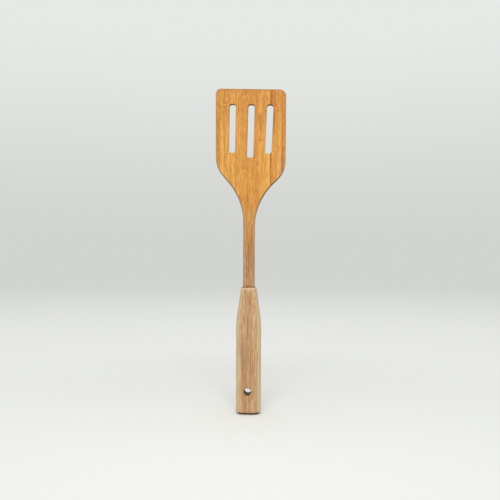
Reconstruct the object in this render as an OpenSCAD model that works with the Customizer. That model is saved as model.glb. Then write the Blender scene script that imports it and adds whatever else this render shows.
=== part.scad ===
// Slotted turner. Its head and its handle are each glued up from upright bamboo strips.
// The head's neck ends in a round tenon, which is glued into a socket in the handle.
// The blade points up, the front faces -Y and the origin is the centre of the handle's butt.

/* [Overall] */
// Length from the butt to the lip
total_l = 331; // [300:1:360]

/* [Blade] */
// Width where the shoulders begin
blade_w = 71; // [66:0.5:76]
// How much wider the lip is
lip_flare = 1; // [0:0.1:4]
// Sideways offset of the blade from the handle's axis
blade_shift = 1.5; // [0:0.1:2.5]
// Thickness beside the slots
blade_t = 6; // [4.5:0.1:7.5]
// Thickness of the lip
lip_t = 2.4; // [1.6:0.1:3.6]
// Length over which the blade thins towards the lip
bevel_l = 16; // [12:0.5:22]
// Radius of the lip's left corner
left_corner_r = 5.6; // [3:0.1:9]
// Radius of the lip's right corner
right_corner_r = 6.9; // [3:0.1:9]
// Angle by which the lip is cut out of square
lip_skew = 1.3; // [0:0.1:2]
// Round-over of the blade's long edges
blade_edge_r = 1.8; // [0.8:0.1:2]

/* [Slots] */
// How much wider each slot is than a strip of the head
slot_over = 0.83; // [0.6:0.01:1.3]
// Radius of the slots' corners
slot_corner_r = 2.5; // [1:0.1:3]
// Length of the middle slot
mid_slot_l = 54; // [40:0.5:58]
// Length of the two side slots
side_slot_l = 49.5; // [36:0.5:54]
// Distance from the lip to the slots
slot_margin = 16.2; // [12:0.1:20]
// Distance from one slot to the next, in strips of the head
slot_strips = 3.2; // [3.1:0.05:3.35]
// Lean of the middle slot from upright
slot_lean = 1.5; // [0:0.1:2]
// Change of lean from one slot to the next
slot_fan = 0.85; // [0:0.05:1.2]

/* [Shoulders] */
// Distance from the lip down to the left shoulder
left_shoulder = 70.9; // [60:0.1:75]
// Distance from the lip down to the right shoulder
right_shoulder = 73.9; // [60:0.1:77]
// Angle of the left flank from upright
left_flank = 40.2; // [36:0.1:50]
// Angle of the right flank from upright
right_flank = 45.9; // [38:0.1:52]
// Radius of the shoulders
shoulder_r = 27.5; // [15:0.5:32]
// Radius where the flanks run into the neck
throat_r = 62; // [40:1:70]

/* [Neck] */
// Width of the neck
neck_w = 11.9; // [10:0.1:14]
// Thickness of the neck
neck_t = 8.6; // [8:0.1:11]
// Round-over of the neck's edges
neck_edge_r = 3.2; // [1.5:0.1:3.8]

/* [Handle] */
// Length of the handle
handle_l = 128.4; // [110:0.1:150]
// Width of the handle at its widest
handle_w = 25.4; // [22:0.1:30]
// Width of the handle at the butt
butt_w = 25.2; // [20:0.1:30]
// Width of the handle's top end
handle_top_w = 15.4; // [14:0.1:18]
// Thickness of the handle
handle_t = 18; // [15:0.1:22]
// Thickness of the handle's top end
handle_top_t = 13; // [12:0.1:15]
// Angle of each flank where the handle widens
flare_angle = 8.2; // [6:0.1:12]
// Radius where the flank runs into the grip
flare_r = 137; // [60:1:160]
// Squareness of the handle's section, where 2 is an ellipse
section_power = 2.8; // [2.2:0.1:4]
// Radius of the butt's corners, seen from the front
butt_corner_r = 4.2; // [2:0.1:7]
// Radius of the butt's corners, seen from the side
butt_edge_r = 3.6; // [1:0.1:5]
// Round-over of the handle's top end
top_edge_r = 0.8; // [0.3:0.1:1.2]

/* [Tenon and socket] */
// Diameter of the tenon
tenon_d = 8; // [7.2:0.1:8.4]
// Length of the tenon
tenon_l = 35; // [20:1:50]
// Glue room round the tenon
tenon_gap = 0.1; // [0.05:0.01:0.2]
// Glue room under the tenon
tenon_end_gap = 1; // [0.5:0.1:3]
// Chamfer at the tenon's tip
tenon_chamfer = 0.8; // [0.4:0.1:1.5]

/* [Hanging hole] */
// Diameter of the hanging hole
hang_d = 7.4; // [6:0.1:9]
// Height of the hole above the butt
hang_z = 23.2; // [16:0.1:40]
// Sideways offset of the hole from the handle's axis
hang_shift = -0.7; // [-1.5:0.1:1.5]
// Depth of the eased edge at each mouth of the hole
hang_chamfer = 0.8; // [0.2:0.1:1.2]

/* [Trimmed outer strips] */
// Width left of the head's first strip at the shoulders
head_left_strip_w = 2; // [1.5:0.1:5]
// Width left of the head's last strip at the shoulders
head_right_strip_w = 4.4; // [1.5:0.1:5]
// Width left of the handle's first strip
handle_left_strip_w = 3.4; // [2:0.1:5]
// Width left of the handle's last strip
handle_right_strip_w = 4.3; // [2:0.1:5]

/* [Hidden] */

// How many strips the head and the handle are glued from
head_strips = 13;
handle_strips = 5;
// Overrun of every cut past the surface that it leaves
over = 1;
// Steps round a quarter circle, along the shoulders, the bevel and the grip, and at either end
arc_steps = 6;
shoulder_steps = 28;
bevel_steps = 6;
grip_steps = 4;
end_steps = 9;
// Facets of a drilled hole
hole_fn = 64;
// Round-over of the lip as a share of its thickness
lip_edge_share = 0.4;
// Largest round-over of the head as a share of its half thickness
edge_limit_share = 0.9;

// Colours of the head, from one strip to the next, and of the handle
head_tones = ["#dda05a", "#e0a862", "#d89a54", "#e3ad68"];
handle_tones = ["#c9a77b", "#bd9a70", "#c5a074"];

// Places on the head
lip_w = blade_w + lip_flare;
lip_left = blade_shift - lip_w / 2;
left_shoulder_z = total_l - left_shoulder;
right_shoulder_z = total_l - right_shoulder;
shoulder_z = min(left_shoulder_z, right_shoulder_z);
shoulder_top_z = max(left_shoulder_z, right_shoulder_z);
bevel_z = total_l - bevel_l;
lip_corner_l = max(left_corner_r, right_corner_r);
lip_corner_z = total_l - lip_corner_l;
lip_edge_r = lip_t * lip_edge_share;
// Widths that the two flanks lose between the blade and the neck
left_loss = blade_w / 2 - blade_shift - neck_w / 2;
right_loss = blade_w / 2 + blade_shift - neck_w / 2;
left_run = flank_run(left_loss, left_flank);
right_run = flank_run(right_loss, right_flank);
throat_z = min(left_shoulder_z - left_run, right_shoulder_z - right_run);

// First glue line of the head, and the width of its untrimmed strips
head_line_x = blade_shift - blade_w / 2 + head_left_strip_w;
head_strip_w = (blade_w - head_left_strip_w - head_right_strip_w) / (head_strips - 2);
// The slots are set out on those strips
slot_w = head_strip_w + slot_over;
slot_pitch = slot_strips * head_strip_w;

// Places on the handle
flare_drop = (handle_w - handle_top_w) / 2;
flare_arc_l = flare_r * sin(flare_angle);
flare_arc_drop = flare_r * (1 - cos(flare_angle));
flare_flank_l = (flare_drop - flare_arc_drop) / tan(flare_angle);
grip_z = handle_l - flare_arc_l - flare_flank_l;
socket_d = tenon_d + 2 * tenon_gap;
socket_l = tenon_l + tenon_end_gap;

// First glue line of the handle, and the width of its untrimmed strips
handle_line_x = handle_left_strip_w - handle_w / 2;
handle_strip_w =
    (handle_w - handle_left_strip_w - handle_right_strip_w) / (handle_strips - 2);

// A smooth step from 0 to 1
function ease(u) = u <= 0 ? 0 : u >= 1 ? 1 : u * u * (3 - 2 * u);

// What a corner of radius r takes off at a distance d from where it begins
function corner_loss(r, d) = d <= 0 ? 0 : r - sqrt(max(0, r * r - d * d));

// Height of a flank that loses a width by a shoulder arc, a straight and a throat arc
function flank_run(loss, angle) =
    let (arcs = shoulder_r + throat_r)
    arcs * sin(angle) + (loss - arcs * (1 - cos(angle))) / tan(angle);

// Width that the flank has lost at a distance down from its shoulder
function flank_loss(down, loss, angle) =
    let (
        shoulder_l = shoulder_r * sin(angle),
        throat_l = throat_r * sin(angle),
        run = flank_run(loss, angle)
    )
    down <= 0 ? 0
    : down < shoulder_l ? corner_loss(shoulder_r, down)
    : down < run - throat_l ? corner_loss(shoulder_r, shoulder_l) + (down - shoulder_l) * tan(angle)
    : down < run ? loss - corner_loss(throat_r, run - down)
    : loss;

// How far the blade has widened from its shoulders, 0, to its lip, 1
function blade_share(z) = max(0, z - shoulder_z) / (total_l - shoulder_z);
// How far the head has changed from the neck, 0, to the blade, 1
function head_share(z) = ease((z - throat_z) / (shoulder_z - throat_z));

// Half widths of the head to the left and to the right of the handle's axis
function head_left(z) =
    blade_w / 2 - blade_shift + (lip_w - blade_w) / 2 * blade_share(z)
    - flank_loss(left_shoulder_z - z, left_loss, left_flank)
    - corner_loss(left_corner_r, z - total_l + left_corner_r);
function head_right(z) =
    blade_w / 2 + blade_shift + (lip_w - blade_w) / 2 * blade_share(z)
    - flank_loss(right_shoulder_z - z, right_loss, right_flank)
    - corner_loss(right_corner_r, z - total_l + right_corner_r);

// Half thickness and edge radius of the head
function head_half_t(z) =
    let (bevel = max(0, z - bevel_z) / bevel_l)
    neck_t / 2 - (neck_t - blade_t) / 2 * head_share(z)
    - (blade_t - lip_t) / 2 * bevel * bevel
    - corner_loss(lip_edge_r, z - total_l + lip_edge_r);
function head_edge_r(z) =
    min(
        neck_edge_r + (blade_edge_r - neck_edge_r) * head_share(z),
        head_half_t(z) * edge_limit_share
    );

// A quarter circle of radius r round a centre, from one angle to the angle 90 degrees on
function quarter(x, y, r, from) =
    [for (i = [0:arc_steps]) let (a = from + i * 90 / arc_steps) [x + r * cos(a), y + r * sin(a)]];

// Section of the head at a height, a rectangle with round edges, tipped to follow the lip
function head_section(z) =
    let (
        r = head_edge_r(z),
        x0 = r - head_left(z),
        x1 = head_right(z) - r,
        y1 = head_half_t(z) - r,
        outline = concat(
            quarter(x1, -y1, r, -90),
            quarter(x1, y1, r, 0),
            quarter(x0, y1, r, 90),
            quarter(x0, -y1, r, 180)
        ),
        tip = tan(lip_skew) * ease(blade_share(z))
    )
    [for (p = outline) [p.x, p.y, z - tip * (p.x - lip_left)]];

// Half width and half thickness of the handle
function flare_loss(z) =
    let (up = z - grip_z)
    up <= 0 ? 0
    : up < flare_arc_l ? corner_loss(flare_r, up)
    : flare_arc_drop + (up - flare_arc_l) * tan(flare_angle);
function handle_half_w(z) =
    handle_w / 2 - (handle_w - butt_w) / 2 * max(0, 1 - z / grip_z) - flare_loss(z)
    - corner_loss(butt_corner_r, butt_corner_r - z)
    - corner_loss(top_edge_r, z - handle_l + top_edge_r);
function handle_half_t(z) =
    handle_t / 2 - (handle_t - handle_top_t) / 2 * flare_loss(z) / flare_drop
    - corner_loss(butt_edge_r, butt_edge_r - z)
    - corner_loss(top_edge_r, z - handle_l + top_edge_r);

// Section of the handle at a height, an ellipse squared up by the section power
function squared(v) = sign(v) * pow(abs(v), 2 / section_power);
function handle_section(z) =
    [for (i = [0:8 * arc_steps - 1])
        let (a = i * 45 / arc_steps)
        [handle_half_w(z) * squared(cos(a)), handle_half_t(z) * squared(sin(a)), z]];

// Heights from one to the next in equal steps, without the last
function steps(from, to, n) = [for (i = [0:n - 1]) from + (to - from) * i / n];

head_heights = concat(
    [handle_l],
    steps(throat_z, shoulder_top_z, shoulder_steps),
    [shoulder_top_z],
    steps(bevel_z, lip_corner_z, bevel_steps),
    [for (i = [0:end_steps]) lip_corner_z + lip_corner_l * sin(i * 90 / end_steps)]
);
butt_r = max(butt_corner_r, butt_edge_r);
handle_heights = concat(
    [for (i = [0:end_steps - 1]) butt_r * (1 - cos(i * 90 / end_steps))],
    steps(butt_r, grip_z, grip_steps),
    steps(grip_z, grip_z + flare_arc_l, arc_steps),
    [grip_z + flare_arc_l],
    [for (i = [0:arc_steps]) handle_l - top_edge_r * (1 - sin(i * 90 / arc_steps))]
);

// Solid through a list of sections, from the lowest to the highest
module loft(sections) {
    n = len(sections[0]);
    rings = len(sections);
    polyhedron(
        points = [for (s = sections) each s],
        faces = concat(
            [[for (i = [0:n - 1]) i]],
            [[for (i = [n - 1:-1:0]) (rings - 1) * n + i]],
            [for (k = [0:rings - 2], i = [0:n - 1])
                let (a = k * n + i, b = k * n + (i + 1) % n)
                each [[a, a + n, b + n], [a, b + n, b]]]
        )
    );
}

// Everything between two upright planes, as one strip is
module between(x0, x1) {
    depth = max(handle_t, neck_t) + 2 * over;
    translate([x0, -depth / 2, -over]) cube([x1 - x0, depth, total_l + 2 * over]);
}

// One slot, n places to the right of the middle one, cut right through the blade
module slot_cut(n) {
    x = blade_shift + n * slot_pitch;
    l = n == 0 ? mid_slot_l : side_slot_l;
    u = slot_w / 2 - slot_corner_r;
    v = l / 2 - slot_corner_r;
    outline = concat(
        quarter(u, v, slot_corner_r, 0),
        quarter(-u, v, slot_corner_r, 90),
        quarter(-u, -v, slot_corner_r, 180),
        quarter(u, -v, slot_corner_r, 270)
    );
    top_z = total_l - slot_margin - tan(lip_skew) * (x - lip_left);
    translate([x, 0, top_z - l / 2]) rotate([90, slot_lean + n * slot_fan, 0])
        linear_extrude(height = blade_t + 2 * over, center = true) polygon(outline);
}

// Round tenon under the neck, with a chamfered tip
module tenon() {
    tip_d = tenon_d - 2 * tenon_chamfer;
    translate([0, 0, handle_l - tenon_l]) {
        cylinder(d1 = tip_d, d2 = tenon_d, h = tenon_chamfer, $fn = hole_fn);
        translate([0, 0, tenon_chamfer])
            cylinder(d = tenon_d, h = tenon_l - tenon_chamfer + over, $fn = hole_fn);
    }
}

// Socket drilled down into the handle's top end
module socket_cut() {
    translate([0, 0, handle_l - socket_l])
        cylinder(d = socket_d, h = socket_l + over, $fn = hole_fn);
}

// Hanging hole, drilled from front to back, with eased mouths
module hang_cut() {
    mouth_d = hang_d + 2 * (hang_chamfer + over);
    translate([hang_shift, 0, hang_z]) rotate([90, 0, 0]) {
        cylinder(d = hang_d, h = handle_t + 2 * over, center = true, $fn = hole_fn);
        for (side = [0, 1]) mirror([0, 0, side])
            translate([0, 0, handle_t / 2 - hang_chamfer])
                cylinder(d1 = hang_d, d2 = mouth_d, h = hang_chamfer + over, $fn = hole_fn);
    }
}

// Strip n of the head, counted from the left; the outer two reach to the blade's edges
module head_strip(n) {
    x0 = n == 1 ? lip_left - over : head_line_x + (n - 2) * head_strip_w;
    x1 = n == head_strips ? lip_left + lip_w + over : head_line_x + (n - 1) * head_strip_w;
    color(head_tones[n % len(head_tones)]) difference() {
        union() {
            intersection() {
                loft([for (z = head_heights) head_section(z)]);
                between(x0, x1);
            }
            if (x0 < tenon_d / 2 && x1 > -tenon_d / 2)
                intersection() {
                    tenon();
                    between(x0, x1);
                }
        }
        for (slot = [-1:1]) slot_cut(slot);
    }
}

// Strip n of the handle, counted from the left; the outer two reach to its sides
module handle_strip(n) {
    x0 = n == 1 ? -handle_w / 2 - over : handle_line_x + (n - 2) * handle_strip_w;
    x1 = n == handle_strips ? handle_w / 2 + over : handle_line_x + (n - 1) * handle_strip_w;
    color(handle_tones[n % len(handle_tones)]) difference() {
        intersection() {
            loft([for (z = handle_heights) handle_section(z)]);
            between(x0, x1);
        }
        socket_cut();
        hang_cut();
    }
}

module head_strip_1() head_strip(1);
module head_strip_2() head_strip(2);
module head_strip_3() head_strip(3);
module head_strip_4() head_strip(4);
module head_strip_5() head_strip(5);
module head_strip_6() head_strip(6);
module head_strip_7() head_strip(7);
module head_strip_8() head_strip(8);
module head_strip_9() head_strip(9);
module head_strip_10() head_strip(10);
module head_strip_11() head_strip(11);
module head_strip_12() head_strip(12);
module head_strip_13() head_strip(13);
module handle_strip_1() handle_strip(1);
module handle_strip_2() handle_strip(2);
module handle_strip_3() handle_strip(3);
module handle_strip_4() handle_strip(4);
module handle_strip_5() handle_strip(5);

head_strip_1();
head_strip_2();
head_strip_3();
head_strip_4();
head_strip_5();
head_strip_6();
head_strip_7();
head_strip_8();
head_strip_9();
head_strip_10();
head_strip_11();
head_strip_12();
head_strip_13();
handle_strip_1();
handle_strip_2();
handle_strip_3();
handle_strip_4();
handle_strip_5();
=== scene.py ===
import math

import bmesh
import bpy
from mathutils import Euler, Matrix, Vector

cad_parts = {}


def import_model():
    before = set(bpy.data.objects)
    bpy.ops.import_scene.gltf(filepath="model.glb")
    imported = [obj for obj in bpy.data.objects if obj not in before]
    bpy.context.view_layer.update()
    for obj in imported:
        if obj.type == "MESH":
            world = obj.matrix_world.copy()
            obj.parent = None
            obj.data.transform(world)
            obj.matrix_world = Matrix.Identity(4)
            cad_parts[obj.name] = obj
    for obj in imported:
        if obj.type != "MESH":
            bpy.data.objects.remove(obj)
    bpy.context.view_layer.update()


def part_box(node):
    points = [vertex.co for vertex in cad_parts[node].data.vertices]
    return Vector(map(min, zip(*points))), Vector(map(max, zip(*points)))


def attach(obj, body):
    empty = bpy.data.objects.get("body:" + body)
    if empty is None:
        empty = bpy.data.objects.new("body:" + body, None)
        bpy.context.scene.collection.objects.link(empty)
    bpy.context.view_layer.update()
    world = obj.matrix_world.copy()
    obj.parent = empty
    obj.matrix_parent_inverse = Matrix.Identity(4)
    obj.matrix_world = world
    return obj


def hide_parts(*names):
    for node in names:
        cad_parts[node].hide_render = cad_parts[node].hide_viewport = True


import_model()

MM = 0.001

# Blade
TOTAL_L = 331 * MM
BLADE_W = 71 * MM
LIP_W = BLADE_W + 1 * MM
BLADE_SHIFT = 1.5 * MM
BLADE_T = 6 * MM
LIP_T = 2.4 * MM
BEVEL_L = 16 * MM
LEFT_CORNER_R = 5.6 * MM
RIGHT_CORNER_R = 6.9 * MM
LIP_SKEW = math.radians(1.3)
LIP_EDGE_SHARE = 0.4
BLADE_EDGE_R = 1.8 * MM
EDGE_LIMIT_SHARE = 0.9

# Slots
SLOT_OVER = 0.83 * MM
SLOT_CORNER_R = 2.5 * MM
MID_SLOT_L = 54 * MM
SIDE_SLOT_L = 49.5 * MM
SLOT_MARGIN = 16.2 * MM
SLOT_STRIPS = 3.2
SLOT_LEAN = math.radians(1.5)
SLOT_FAN = math.radians(0.85)
SLOT_EASE_R = 0.55 * MM

# Shoulders and neck
LEFT_SHOULDER = 70.9 * MM
RIGHT_SHOULDER = 73.9 * MM
LEFT_FLANK = math.radians(40.2)
RIGHT_FLANK = math.radians(45.9)
SHOULDER_R = 27.5 * MM
THROAT_R = 62 * MM
NECK_W = 11.9 * MM
NECK_T = 8.6 * MM
NECK_EDGE_R = 3.2 * MM
NECK_END_EASE = 0.35 * MM

# Handle
HANDLE_L = 128.4 * MM
HANDLE_W = 25.4 * MM
BUTT_W = 25.2 * MM
HANDLE_TOP_W = 15.4 * MM
HANDLE_T = 18 * MM
HANDLE_TOP_T = 13 * MM
FLARE_ANGLE = math.radians(8.2)
FLARE_R = 137 * MM
SECTION_POWER = 2.8
BUTT_CORNER_R = 4.2 * MM
BUTT_EDGE_R = 3.6 * MM
TOP_EDGE_R = 0.8 * MM

# Tenon, socket and hanging hole
TENON_D = 8 * MM
TENON_L = 35 * MM
TENON_GAP = 0.1 * MM
TENON_END_GAP = 1 * MM
TENON_CHAMFER = 0.8 * MM
HANG_D = 7.4 * MM
HANG_Z = 23.2 * MM
HANG_SHIFT = -0.7 * MM
HANG_EASE_R = 1.4 * MM

# How finely the curves are stepped
EDGE_STEPS = 10
LIP_CORNER_STEPS = 14
SHOULDER_STEPS = 72
BEVEL_STEPS = 12
BUTT_STEPS = 12
FLARE_STEPS = 22
SECTION_STEPS = 128
HOLE_STEPS = 72
EASE_STEPS = 6
LONG_STEP = 8 * MM

# Overrun of every cut past the surface that it leaves
OVER = 1 * MM
# Distances in metres below which a point counts as on a cutting plane, and two points as one
ON_PLANE = 1e-8
SAME_POINT = 1e-7
# Width and depth of the eased edge that each strip has along its glue lines
LINE_EASE_W = 0.16 * MM
LINE_EASE_D = 0.035 * MM
# Least sideways share of the normal of a strip's flat glued face
GLUED_FACE = 0.99
# Surfaces that turn by more than this meet in a sharp edge
SHARP_TURN = math.radians(32)


def head_node(number):
    return f"head_strip_{number}"


def handle_node(number):
    return f"handle_strip_{number}"


HEAD_STRIPS = 13
# The strips between the first and the last glue line of the head are equally wide
HEAD_STRIP_W = (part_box(head_node(HEAD_STRIPS))[0].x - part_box(head_node(1))[1].x) / (HEAD_STRIPS - 2)
SLOT_W = HEAD_STRIP_W + SLOT_OVER
SLOT_PITCH = SLOT_STRIPS * HEAD_STRIP_W


# Outlines, as in the part's source

def ease(u):
    u = min(max(u, 0), 1)
    return u * u * (3 - 2 * u)


def corner_loss(r, d):
    """What a corner of radius r takes off at a distance d from where it begins."""
    return 0 if d <= 0 else r - math.sqrt(max(0, r * r - d * d))


def flank_run(loss, angle):
    """Height of a flank that loses a width by a shoulder arc, a straight and a throat arc."""
    arcs = SHOULDER_R + THROAT_R
    return arcs * math.sin(angle) + (loss - arcs * (1 - math.cos(angle))) / math.tan(angle)


def flank_loss(down, loss, angle):
    """Width that the flank has lost at a distance down from its shoulder."""
    shoulder_l = SHOULDER_R * math.sin(angle)
    throat_l = THROAT_R * math.sin(angle)
    run = flank_run(loss, angle)
    if down <= 0:
        return 0
    if down < shoulder_l:
        return corner_loss(SHOULDER_R, down)
    if down < run - throat_l:
        return corner_loss(SHOULDER_R, shoulder_l) + (down - shoulder_l) * math.tan(angle)
    if down < run:
        return loss - corner_loss(THROAT_R, run - down)
    return loss


LIP_LEFT = BLADE_SHIFT - LIP_W / 2
LEFT_SHOULDER_Z = TOTAL_L - LEFT_SHOULDER
RIGHT_SHOULDER_Z = TOTAL_L - RIGHT_SHOULDER
SHOULDER_Z = min(LEFT_SHOULDER_Z, RIGHT_SHOULDER_Z)
SHOULDER_TOP_Z = max(LEFT_SHOULDER_Z, RIGHT_SHOULDER_Z)
BEVEL_Z = TOTAL_L - BEVEL_L
LIP_CORNER_Z = TOTAL_L - max(LEFT_CORNER_R, RIGHT_CORNER_R)
LIP_EDGE_R = LIP_T * LIP_EDGE_SHARE
LEFT_LOSS = BLADE_W / 2 - BLADE_SHIFT - NECK_W / 2
RIGHT_LOSS = BLADE_W / 2 + BLADE_SHIFT - NECK_W / 2
THROAT_Z = min(
    LEFT_SHOULDER_Z - flank_run(LEFT_LOSS, LEFT_FLANK),
    RIGHT_SHOULDER_Z - flank_run(RIGHT_LOSS, RIGHT_FLANK),
)


def blade_share(z):
    return max(0, z - SHOULDER_Z) / (TOTAL_L - SHOULDER_Z)


def head_share(z):
    return ease((z - THROAT_Z) / (SHOULDER_Z - THROAT_Z))


def head_left(z):
    widened = BLADE_W / 2 - BLADE_SHIFT + (LIP_W - BLADE_W) / 2 * blade_share(z)
    lost = flank_loss(LEFT_SHOULDER_Z - z, LEFT_LOSS, LEFT_FLANK)
    return widened - lost - corner_loss(LEFT_CORNER_R, z - TOTAL_L + LEFT_CORNER_R)


def head_right(z):
    widened = BLADE_W / 2 + BLADE_SHIFT + (LIP_W - BLADE_W) / 2 * blade_share(z)
    lost = flank_loss(RIGHT_SHOULDER_Z - z, RIGHT_LOSS, RIGHT_FLANK)
    return widened - lost - corner_loss(RIGHT_CORNER_R, z - TOTAL_L + RIGHT_CORNER_R)


def head_half_t(z):
    bevel = max(0, z - BEVEL_Z) / BEVEL_L
    thick = NECK_T / 2 - (NECK_T - BLADE_T) / 2 * head_share(z)
    thinned = thick - (BLADE_T - LIP_T) / 2 * bevel * bevel
    return thinned - corner_loss(LIP_EDGE_R, z - TOTAL_L + LIP_EDGE_R)


def head_edge_r(z):
    edge_r = NECK_EDGE_R + (BLADE_EDGE_R - NECK_EDGE_R) * head_share(z)
    return min(edge_r, head_half_t(z) * EDGE_LIMIT_SHARE)


def head_section(z):
    """A rectangle with round edges, tipped to follow the lip, and eased at the neck's end."""
    r = head_edge_r(z)
    eased = corner_loss(NECK_END_EASE, HANDLE_L + NECK_END_EASE - z)
    x0 = r - head_left(z)
    x1 = head_right(z) - r
    y1 = head_half_t(z) - r
    r -= eased
    tip = math.tan(LIP_SKEW) * ease(blade_share(z))
    ring = []
    for cx, cy, start in ((x1, -y1, -90), (x1, y1, 0), (x0, y1, 90), (x0, -y1, 180)):
        for step in range(EDGE_STEPS + 1):
            a = math.radians(start + 90 * step / EDGE_STEPS)
            x, y = cx + r * math.cos(a), cy + r * math.sin(a)
            ring.append(Vector((x, y, z - tip * (x - LIP_LEFT))))
    return ring


FLARE_DROP = (HANDLE_W - HANDLE_TOP_W) / 2
FLARE_ARC_L = FLARE_R * math.sin(FLARE_ANGLE)
FLARE_ARC_DROP = FLARE_R * (1 - math.cos(FLARE_ANGLE))
GRIP_Z = HANDLE_L - FLARE_ARC_L - (FLARE_DROP - FLARE_ARC_DROP) / math.tan(FLARE_ANGLE)


def flare_loss(z):
    up = z - GRIP_Z
    if up < FLARE_ARC_L:
        return corner_loss(FLARE_R, up)
    return FLARE_ARC_DROP + (up - FLARE_ARC_L) * math.tan(FLARE_ANGLE)


def handle_half_w(z):
    straight = HANDLE_W / 2 - (HANDLE_W - BUTT_W) / 2 * max(0, 1 - z / GRIP_Z) - flare_loss(z)
    rounded = straight - corner_loss(BUTT_CORNER_R, BUTT_CORNER_R - z)
    return rounded - corner_loss(TOP_EDGE_R, z - HANDLE_L + TOP_EDGE_R)


def handle_half_t(z):
    straight = HANDLE_T / 2 - (HANDLE_T - HANDLE_TOP_T) / 2 * flare_loss(z) / FLARE_DROP
    rounded = straight - corner_loss(BUTT_EDGE_R, BUTT_EDGE_R - z)
    return rounded - corner_loss(TOP_EDGE_R, z - HANDLE_L + TOP_EDGE_R)


def squared(v):
    return math.copysign(abs(v) ** (2 / SECTION_POWER), v)


def handle_section(z):
    """An ellipse squared up by the section power."""
    ring = []
    for step in range(SECTION_STEPS):
        a = math.tau * step / SECTION_STEPS
        x = handle_half_w(z) * squared(math.cos(a))
        y = handle_half_t(z) * squared(math.sin(a))
        ring.append(Vector((x, y, z)))
    return ring


def steps(start, end, count):
    """Heights from one to the next in equal steps, without the last."""
    return [start + (end - start) * i / count for i in range(count)]


def long_steps(start, end):
    return steps(start, end, max(1, round((end - start) / LONG_STEP)))


def quarter_steps(start, end, count):
    """Heights that crowd towards the end, as a quarter circle's points do."""
    return [start + (end - start) * math.sin(math.pi / 2 * i / count) for i in range(count + 1)]


def head_heights():
    neck_end = quarter_steps(HANDLE_L + NECK_END_EASE, HANDLE_L, EASE_STEPS)
    return (
        list(reversed(neck_end))[:-1]
        + long_steps(HANDLE_L + NECK_END_EASE, THROAT_Z)
        + steps(THROAT_Z, SHOULDER_TOP_Z, SHOULDER_STEPS)
        + long_steps(SHOULDER_TOP_Z, BEVEL_Z)
        + steps(BEVEL_Z, LIP_CORNER_Z, BEVEL_STEPS)
        + quarter_steps(LIP_CORNER_Z, TOTAL_L, LIP_CORNER_STEPS)
    )


def handle_heights():
    butt_r = max(BUTT_CORNER_R, BUTT_EDGE_R)
    butt_end = quarter_steps(butt_r, 0, BUTT_STEPS)
    return (
        list(reversed(butt_end))[:-1]
        + long_steps(butt_r, GRIP_Z)
        + steps(GRIP_Z, GRIP_Z + FLARE_ARC_L, FLARE_STEPS)
        + long_steps(GRIP_Z + FLARE_ARC_L, HANDLE_L - TOP_EDGE_R)
        + quarter_steps(HANDLE_L - TOP_EDGE_R, HANDLE_L, EASE_STEPS)
    )


# Making meshes

def loft(rings):
    """Closed mesh through a list of rings, from the lowest to the highest."""
    bm = bmesh.new()
    rows = [[bm.verts.new(p) for p in ring] for ring in rings]
    for low, high in zip(rows, rows[1:]):
        for i in range(len(low)):
            j = (i + 1) % len(low)
            bm.faces.new((low[i], low[j], high[j], high[i]))
    bm.faces.new(list(reversed(rows[0])))
    bm.faces.new(rows[-1])
    return bm


def as_object(bm, name):
    mesh = bpy.data.meshes.new(name)
    bm.to_mesh(mesh)
    bm.free()
    made = bpy.data.objects.new(name, mesh)
    bpy.context.scene.collection.objects.link(made)
    return made


def combine(body, tool, operation):
    """Cuts the tool out of the body or joins it on, and deletes the tool."""
    modifier = body.modifiers.new("cut", "BOOLEAN")
    modifier.operation = operation
    modifier.solver = "EXACT"
    modifier.object = tool
    evaluated = body.evaluated_get(bpy.context.evaluated_depsgraph_get())
    mesh = bpy.data.meshes.new_from_object(evaluated)
    body.modifiers.clear()
    old = body.data
    body.data = mesh
    bpy.data.meshes.remove(old)
    tool_mesh = tool.data
    bpy.data.objects.remove(tool)
    bpy.data.meshes.remove(tool_mesh)


def eased_depths(half_depth, ease_r):
    """Depths along a cut and how far its eased mouths open there."""
    mouth = []
    for step in range(EASE_STEPS + 1):
        a = math.pi / 2 * step / EASE_STEPS
        mouth.append((half_depth - ease_r + ease_r * math.sin(a), ease_r * (1 - math.cos(a))))
    mouth.append((half_depth + OVER, ease_r))
    return [(-d, grown) for d, grown in reversed(mouth)] + mouth


def slot_outline(length, grown):
    """Outline of a slot with its round corners, grown by a margin all round."""
    r = SLOT_CORNER_R + grown
    u = SLOT_W / 2 - SLOT_CORNER_R
    w = length / 2 - SLOT_CORNER_R
    quarter = HOLE_STEPS // 4
    points = []
    for turn, (side, end) in enumerate(((1, 1), (-1, 1), (-1, -1), (1, -1))):
        for step in range(quarter + 1):
            a = math.pi / 2 * (turn + step / quarter)
            points.append((side * u + r * math.cos(a), end * w + r * math.sin(a)))
    return points


def slot_tool(n):
    """The shape that the n-th slot to the right of the middle one is cut with."""
    x = BLADE_SHIFT + n * SLOT_PITCH
    length = MID_SLOT_L if n == 0 else SIDE_SLOT_L
    top_z = TOTAL_L - SLOT_MARGIN - math.tan(LIP_SKEW) * (x - LIP_LEFT)
    place = Matrix.Translation((x, 0, top_z - length / 2))
    place @= Euler((0, SLOT_LEAN + n * SLOT_FAN, 0)).to_matrix().to_4x4()
    rings = []
    for depth, grown in eased_depths(BLADE_T / 2, SLOT_EASE_R):
        rings.append([place @ Vector((u, -depth, w)) for u, w in slot_outline(length, grown)])
    return as_object(loft(rings), "slot_tool")


def circle(r, count):
    angles = [math.tau * i / count for i in range(count)]
    return [(r * math.cos(a), r * math.sin(a)) for a in angles]


def hang_tool():
    """The shape that the hanging hole is drilled with."""
    rings = []
    for depth, grown in eased_depths(HANDLE_T / 2, HANG_EASE_R):
        ring = circle(HANG_D / 2 + grown, HOLE_STEPS)
        rings.append([Vector((HANG_SHIFT + u, -depth, HANG_Z + w)) for u, w in ring])
    return as_object(loft(rings), "hang_tool")


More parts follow.
